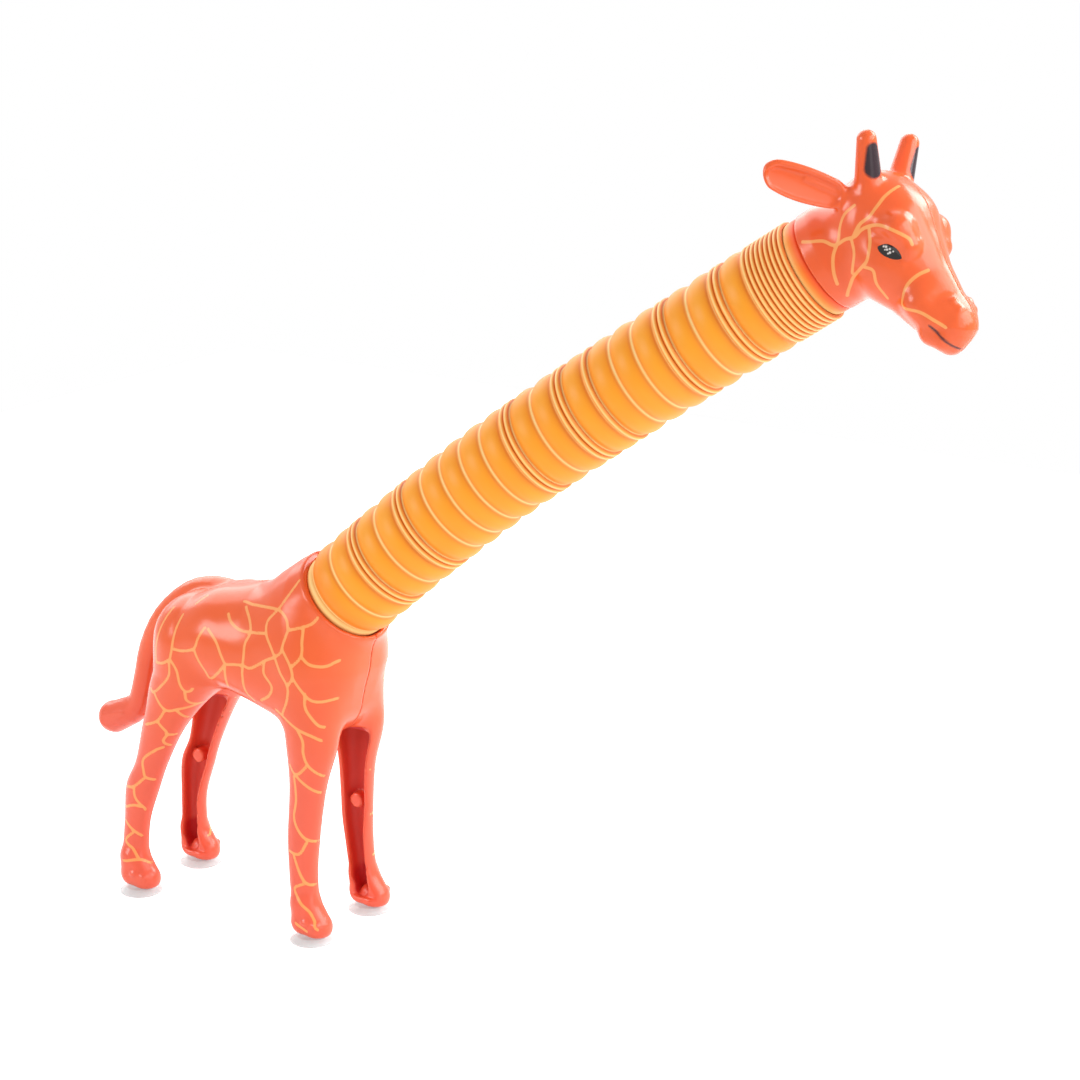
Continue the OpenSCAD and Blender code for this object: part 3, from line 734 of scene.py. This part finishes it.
# Head sizes are in mm, forward, left and up from the middle of the neck socket.
HEAD_GAP = 0.4
HEAD_AT = stations[-1] + (COLLAR + HEAD_GAP) * courses[-1]
roll, tip, yaw = np.radians([-11, 33, -8.6])
TURN = (
    np.array([[np.cos(yaw), -np.sin(yaw), 0], [np.sin(yaw), np.cos(yaw), 0], [0, 0, 1]])
    @ np.array([[np.cos(tip), 0, np.sin(tip)], [0, 1, 0], [-np.sin(tip), 0, np.cos(tip)]])
    @ np.array([[1, 0, 0], [0, np.cos(roll), -np.sin(roll)], [0, np.sin(roll), np.cos(roll)]])
)
NECK = TURN.T @ courses[-1]
RIM_DROP, COLLAR_R, SOCKET_R, HEAD_WALL = 3.0, 14.1, 12.8, 1.3
SKULL, CROWN, CHEEK = (6, 0, 12.5, 12.3), (4.2, 0, 16.2, 12.1), (13.5, 0, 12, 12.4)
FOREHEAD = [(4.2, -3, 16.2, 9.6), (9.6, -3, 19.4, 8.4)]
BRIDGE = [(14, 0, 12.5, 11.6), (36.4, 0, 9.6, 6.4)]
JAW = [(14, 0, 8.0, 8.8), (27, 0, 8.0, 6.4), (36.0, 0, 6.0, 5.0)]
SNOUT = [(36.6, 0, 9.4, 6.6), (38.6, 0, 9.0, 6.0), (40.4, 0, 5.8, 4.0)]
NOSE = [(38.0, -2.4, 12.2, 3.0), (35.4, -3.4, 12.6, 2.8)]
NOSTRIL = [(34.6, -5.6, 13.2, 0.7), (36.2, -4.4, 15.0, 0.8), (38.6, -3.8, 14.4, 0.8), (39.6, -4.2, 12.8, 0.7)]
UPPER_LIP = [(29.6, -5.0, 9.4, 5.0), (33.5, -3.8, 8.6, 4.8)]
LOWER_LIP = [(36.2, -2.4, 5.4, 4.3), (39.2, -2.4, 6.0, 3.8)]
BROW = [(8.6, -9.6, 19.2, 3.2), (14.0, -9.6, 20.2, 4.4), (18.6, -8.4, 18.8, 3.4)]
EYE_HOLLOW = [(14.4, -15.8, 15.4, 3.7), (19.6, -14.6, 15.8, 3.3)]
UPPER_LID = [(11.6, -11.8, 15.6, 0.9), (15.8, -11.3, 18.0, 1.0), (20.8, -9.6, 17.4, 0.8)]
LOWER_LID = [(13.0, -11.7, 13.5, 0.8), (17.4, -11.0, 12.9, 0.8), (21.4, -9.6, 14.6, 0.6)]
HORN = [(-0.5, -8.0, 23.0, 3.7), (-7.0, -11.3, 32.6, 2.6)]


def chain(form, p, joints, fillet):
    """A form with a chain of bones melted into it."""
    for a, b in zip(joints, joints[1:]):
        form = melt(form, bone(p, a, b), fillet)
    return form


def skull(p, neck):
    """Cranium, forehead, cheeks, muzzle, jaw, nostrils, lips, brows, lids and the socket's collar of the right
    half, as one solid."""
    form = melt(bone(p, SKULL, CROWN), bone(p, CROWN, CHEEK), 1.5)
    form = melt(form, bone(p, SKULL, CHEEK), 1.5)
    form = chain(form, widened(p, 3.0), FOREHEAD, 3.0)
    form = chain(form, p, BRIDGE, 3.0)
    form = chain(form, p, JAW, 2.0)
    form = chain(form, p, SNOUT, 1.5)
    form = chain(form, widened(p, 2.4), NOSE, 1.5)
    form = chain(form, p, NOSTRIL, 1.0)
    form = chain(form, p, UPPER_LIP, 2.0)
    form = chain(form, widened(p, 2.4), LOWER_LIP, 1.0)
    form = chain(form, p, BROW, 1.6)
    form = carve(form, bone(p, *EYE_HOLLOW), 1.6)
    form = chain(form, p, UPPER_LID, 0.8)
    form = chain(form, p, LOWER_LID, 0.8)
    reach = p @ neck
    collar_r = COLLAR_R - 0.2 * np.maximum(reach - 1.0, 0) ** 1.3
    collar = np.linalg.norm(p - reach[:, None] * neck, axis=1) - collar_r
    collar = np.maximum(collar, reach - 10)
    form = melt(form, collar, 4.0)
    return -melt(-form, reach + RIM_DROP, 0.6)


EAR_ROOT, EAR_TIP = np.array([-2.6, -11.5, 17.2]), np.array([-18.4, -26.2, 13.8])


def ear(p):
    """A cupped leaf: its width follows a sine along its length and is fuller below, its front is scooped inside
    a rim, and a low ridge runs out from the root."""
    length = np.linalg.norm(EAR_TIP - EAR_ROOT)
    way = (EAR_TIP - EAR_ROOT) / length
    wide = np.cross(way, [0.72, -0.62, 0.3])
    wide /= np.linalg.norm(wide)
    face = np.cross(wide, way)
    q = p - EAR_ROOT
    a, b, c = q @ way / length, q @ wide, q @ face
    half = 2.9 + 1.3 * np.sin(np.pi * np.clip(0.12 + 0.76 * a, 0, 1)) ** 0.8 - 0.9 * np.clip(a, 0, 1) ** 3
    half = half * np.where(b < 0, 1.0 + 0.55 * np.clip(a, 0, 1), 1.0)
    bend = 0.05 * b * b - 0.6
    ends = (np.maximum(np.abs(a - 0.5) - 0.36, 0) / 0.16) ** 2
    edge = half * (np.sqrt((b / half) ** 2 + ends) - 1)
    leaf = np.hypot(np.maximum(edge + 1.4, 0), c - bend) - 1.4
    inner = half * (np.sqrt(((b + 0.7) / half) ** 2 + ends) - 1)
    scoop = np.hypot(np.maximum(inner + 2.2, 0), c - bend - 1.7) - 1.2
    ridge = np.hypot(b - 0.4 - 1.2 * a, c - bend - 0.3) - 0.6
    return melt(carve(leaf, scoop, 0.8), np.maximum(ridge, np.abs(a - 0.22) * length - 6.6), 0.8)


def dressed(bare, p):
    """A skull with the horn, a blunt stalk that leans back and outwards, and the ear melted into it."""
    return melt(melt(bare, bone(p, *HORN), 2.2), ear(p), 3.2)


def head_outside(p, neck=NECK):
    """Depth in the right half of the head as if it were solid; neck is the way of the tube that it sits on."""
    return dressed(skull(p, neck), p)


def head_half(p, neck):
    """The right half hollowed to its wall, with the socket for the tube's end."""
    bare = skull(p, neck)
    form = carve(dressed(bare, p), bare + HEAD_WALL, 0.5)
    reach = p @ neck
    out = np.linalg.norm(p - reach[:, None] * neck, axis=1)
    bore = np.maximum(np.maximum(out - SOCKET_R, reach - 3.6), bare + HEAD_WALL - 0.1)
    return carve(form, bore, 0.3)


# Side view points (forward, up) in mm of the head's printed lines.
HEAD_NET = [
    [(5.5, 27.7), (6.0, 24.4), (6.7, 21.9), (7.2, 19.0), (6.4, 15.6), (6.9, 11.9)],
    [(-3.6, 1.6), (-1.8, 3.1), (0.7, 5.4), (3.8, 6.6), (5.3, 9.7), (7.2, 12.2), (7.7, 15.0), (9.0, 17.3),
     (11.4, 19.4), (15.0, 20.9), (18.6, 21.4), (20.4, 20.6)],
    [(1.9, 18.2), (1.1, 14.5), (1.9, 11.4), (3.9, 8.1), (5.1, 4.6), (7.3, 1.5), (9.9, -1.3)],
    [(6.7, 11.2), (9.7, 8.4), (11.5, 3.7)],
    [(9.2, 16.3), (11.6, 13.8), (13.8, 10.2), (13.5, 7.2), (12.2, 2.9), (12.2, -0.5), (12.4, -3.1)],
    [(14.0, 7.9), (16.7, 8.8), (19.0, 6.3), (22.5, 4.6)],
    [(26.4, 17.2), (25.6, 14.6), (25.4, 11.2), (26.4, 8.1), (28.0, 6.2), (32.7, 8.5), (36.7, 9.1),
     (39.7, 9.4)],
]
MOUTH = [(36.4, 7.1), (38.4, 6.9), (40.6, 6.5), (43.0, 6.2), (44.6, 6.2)]
HEAD_FAR, MOUTH_HALF = -30.0, 0.34
head_marks = np.concatenate([beside(head_outside, line, HEAD_FAR) for line in HEAD_NET]).astype(np.float32)
mouth_marks = beside(head_outside, MOUTH, HEAD_FAR).astype(np.float32)

# The head's plastic is the body's, with two more prints: a dark brown mouth line and horn patch.
face_coral = coral.copy()
face_coral.name = "coral moulded ABS, printed face"
tree = face_coral.node_tree
gloss = tree.nodes["Principled BSDF"]
hue = gloss.inputs["Base Color"].links[0].from_socket
dusk = put(tree, "Attribute", attribute_name="dusk")
hue = put(tree, "Mix", {0: dusk.outputs["Fac"], 6: hue, 7: linear("#2c1620")}, **COLOURS)
tree.links.new(hue.outputs[2], gloss.inputs["Base Color"])

HEAD_STEP, HEAD_LOW, HEAD_HIGH = 0.42, (-22, -30, -8.68), (48, 0.7, 40)
PATCH = [(-1.0, -10.4, 28.2, 3.0), (-4.4, -11.4, 31.8, 2.1)]


def head_seam(p):
    """Y of the face that meets the other head shell."""
    return np.full(len(p), -0.01)


def head_piece(side, flip):
    """One head shell with its prints; flip is -1 for the left one, which is worked out on the right, under a
    neck that tilts the other way, and turned over."""
    neck = NECK * (1, flip, 1)
    half, faces, smooth = skin(lambda p: head_half(p, neck), head_seam, HEAD_LOW, HEAD_HIGH, HEAD_STEP)
    line, dusk = np.full(len(half), UNMARKED), np.zeros(len(half))
    outer = np.abs(head_outside(half, neck)) < 0.2
    line[outer] = distance(half[outer], head_marks)
    dusk[outer] = np.clip(1.5 - distance(half[outer], mouth_marks) / MOUTH_HALF, 0, 1)
    dusk = np.maximum(dusk, np.clip(-bone(half, *PATCH) / 0.5, 0, 1) * outer)
    points = (HEAD_AT + (half * (1, flip, 1)) @ TURN.T - MIDDLE) / 1000
    name = "head_shell_" + side
    made = mesh_object(name, points, faces[:, ::flip], face_coral, smooth, line=line, dusk=dusk)
    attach(made, "head")
    return made


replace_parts(head_piece("right", 1), "head_right_shell")
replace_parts(head_piece("left", -1), "head_left_shell")

# Printed eyes: almonds of glossy black ink with small white glints, pad-printed on the skin of the head
# under each brow and 0.05 mm thick.

# Pad-printing ink: glossy black, a little uneven over about 1.1 mm, with white dots printed over it.
GRAIN_MM = 10 / 9
ink, tree = blank("glossy black and white print")
glint = put(tree, "Attribute", attribute_name="glint")
spot = put(tree, "TexCoord")
grain = put(tree, "TexNoise", {"Vector": spot.outputs["Object"], "Scale": 1000 / GRAIN_MM})
deep = put(tree, "Mix", {0: grain.outputs["Fac"], 6: linear("#0b0909"), 7: linear("#1c1414")}, **COLOURS)
hue = put(tree, "Mix", {0: glint.outputs["Fac"], 6: deep.outputs[2], 7: linear("#f3ece6")}, **COLOURS)
wet = put(tree, "BsdfPrincipled", {"Base Color": hue.outputs[2], "Roughness": 0.16, "IOR": 1.5})
put(tree, "OutputMaterial", {"Surface": wet.outputs[0]})

# Each eye is a grid: s runs along it and t across, between arched edges, and s stops just short of their tips.
EYE, EYE_TURN, EYE_LONG, EYE_HIGH, EYE_PROUD = np.array([17.0, 15.5]), np.radians(11), 3.4, 1.65, 0.05
EYE_COLUMNS, EYE_ROWS = 61, 31
GLINTS = [(-2.1, 0.3, 0.24), (-1.5, 0.5, 0.3), (-0.9, 0.0, 0.26), (-0.35, 0.5, 0.26), (0.1, -0.3, 0.28),
          (-0.2, -0.75, 0.2), (0.7, 0.35, 0.2), (-1.4, -0.3, 0.18)]
s, t = np.meshgrid(np.linspace(-0.99, 0.99, EYE_COLUMNS), np.linspace(-1, 1, EYE_ROWS), indexing="ij")
eye_x = EYE_LONG * s
eye_z = EYE_HIGH * t * (1 - np.abs(s) ** 2.2) ** 0.8 - 0.35 * s**2 + 0.15 * s
along, up = np.array([np.cos(EYE_TURN), np.sin(EYE_TURN)]), np.array([-np.sin(EYE_TURN), np.cos(EYE_TURN)])
flat = EYE + eye_x.reshape(-1, 1) * along + eye_z.reshape(-1, 1) * up
spot = drop(head_outside, flat, HEAD_FAR, 80)
spot[:, 1] -= EYE_PROUD
shine = np.zeros(len(spot))
for x, z, r in GLINTS:
    shine = np.maximum(shine, np.clip(1.5 - np.hypot(eye_x - x, eye_z - z).ravel() / r, 0, 1))
i, j = np.meshgrid(np.arange(EYE_COLUMNS - 1), np.arange(EYE_ROWS - 1), indexing="ij")
corner = i * EYE_ROWS + j
faces = np.stack([corner, corner + EYE_ROWS, corner + EYE_ROWS + 1, corner + 1], -1).reshape(-1, 4)
for name, flip in (("eye_right", 1), ("eye_left", -1)):
    points = HEAD_AT + (spot * (1, flip, 1)) @ TURN.T
    made = mesh_object(name, (points - MIDDLE) / 1000, faces[:, ::flip], ink, glint=shine)
    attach(made, "head")
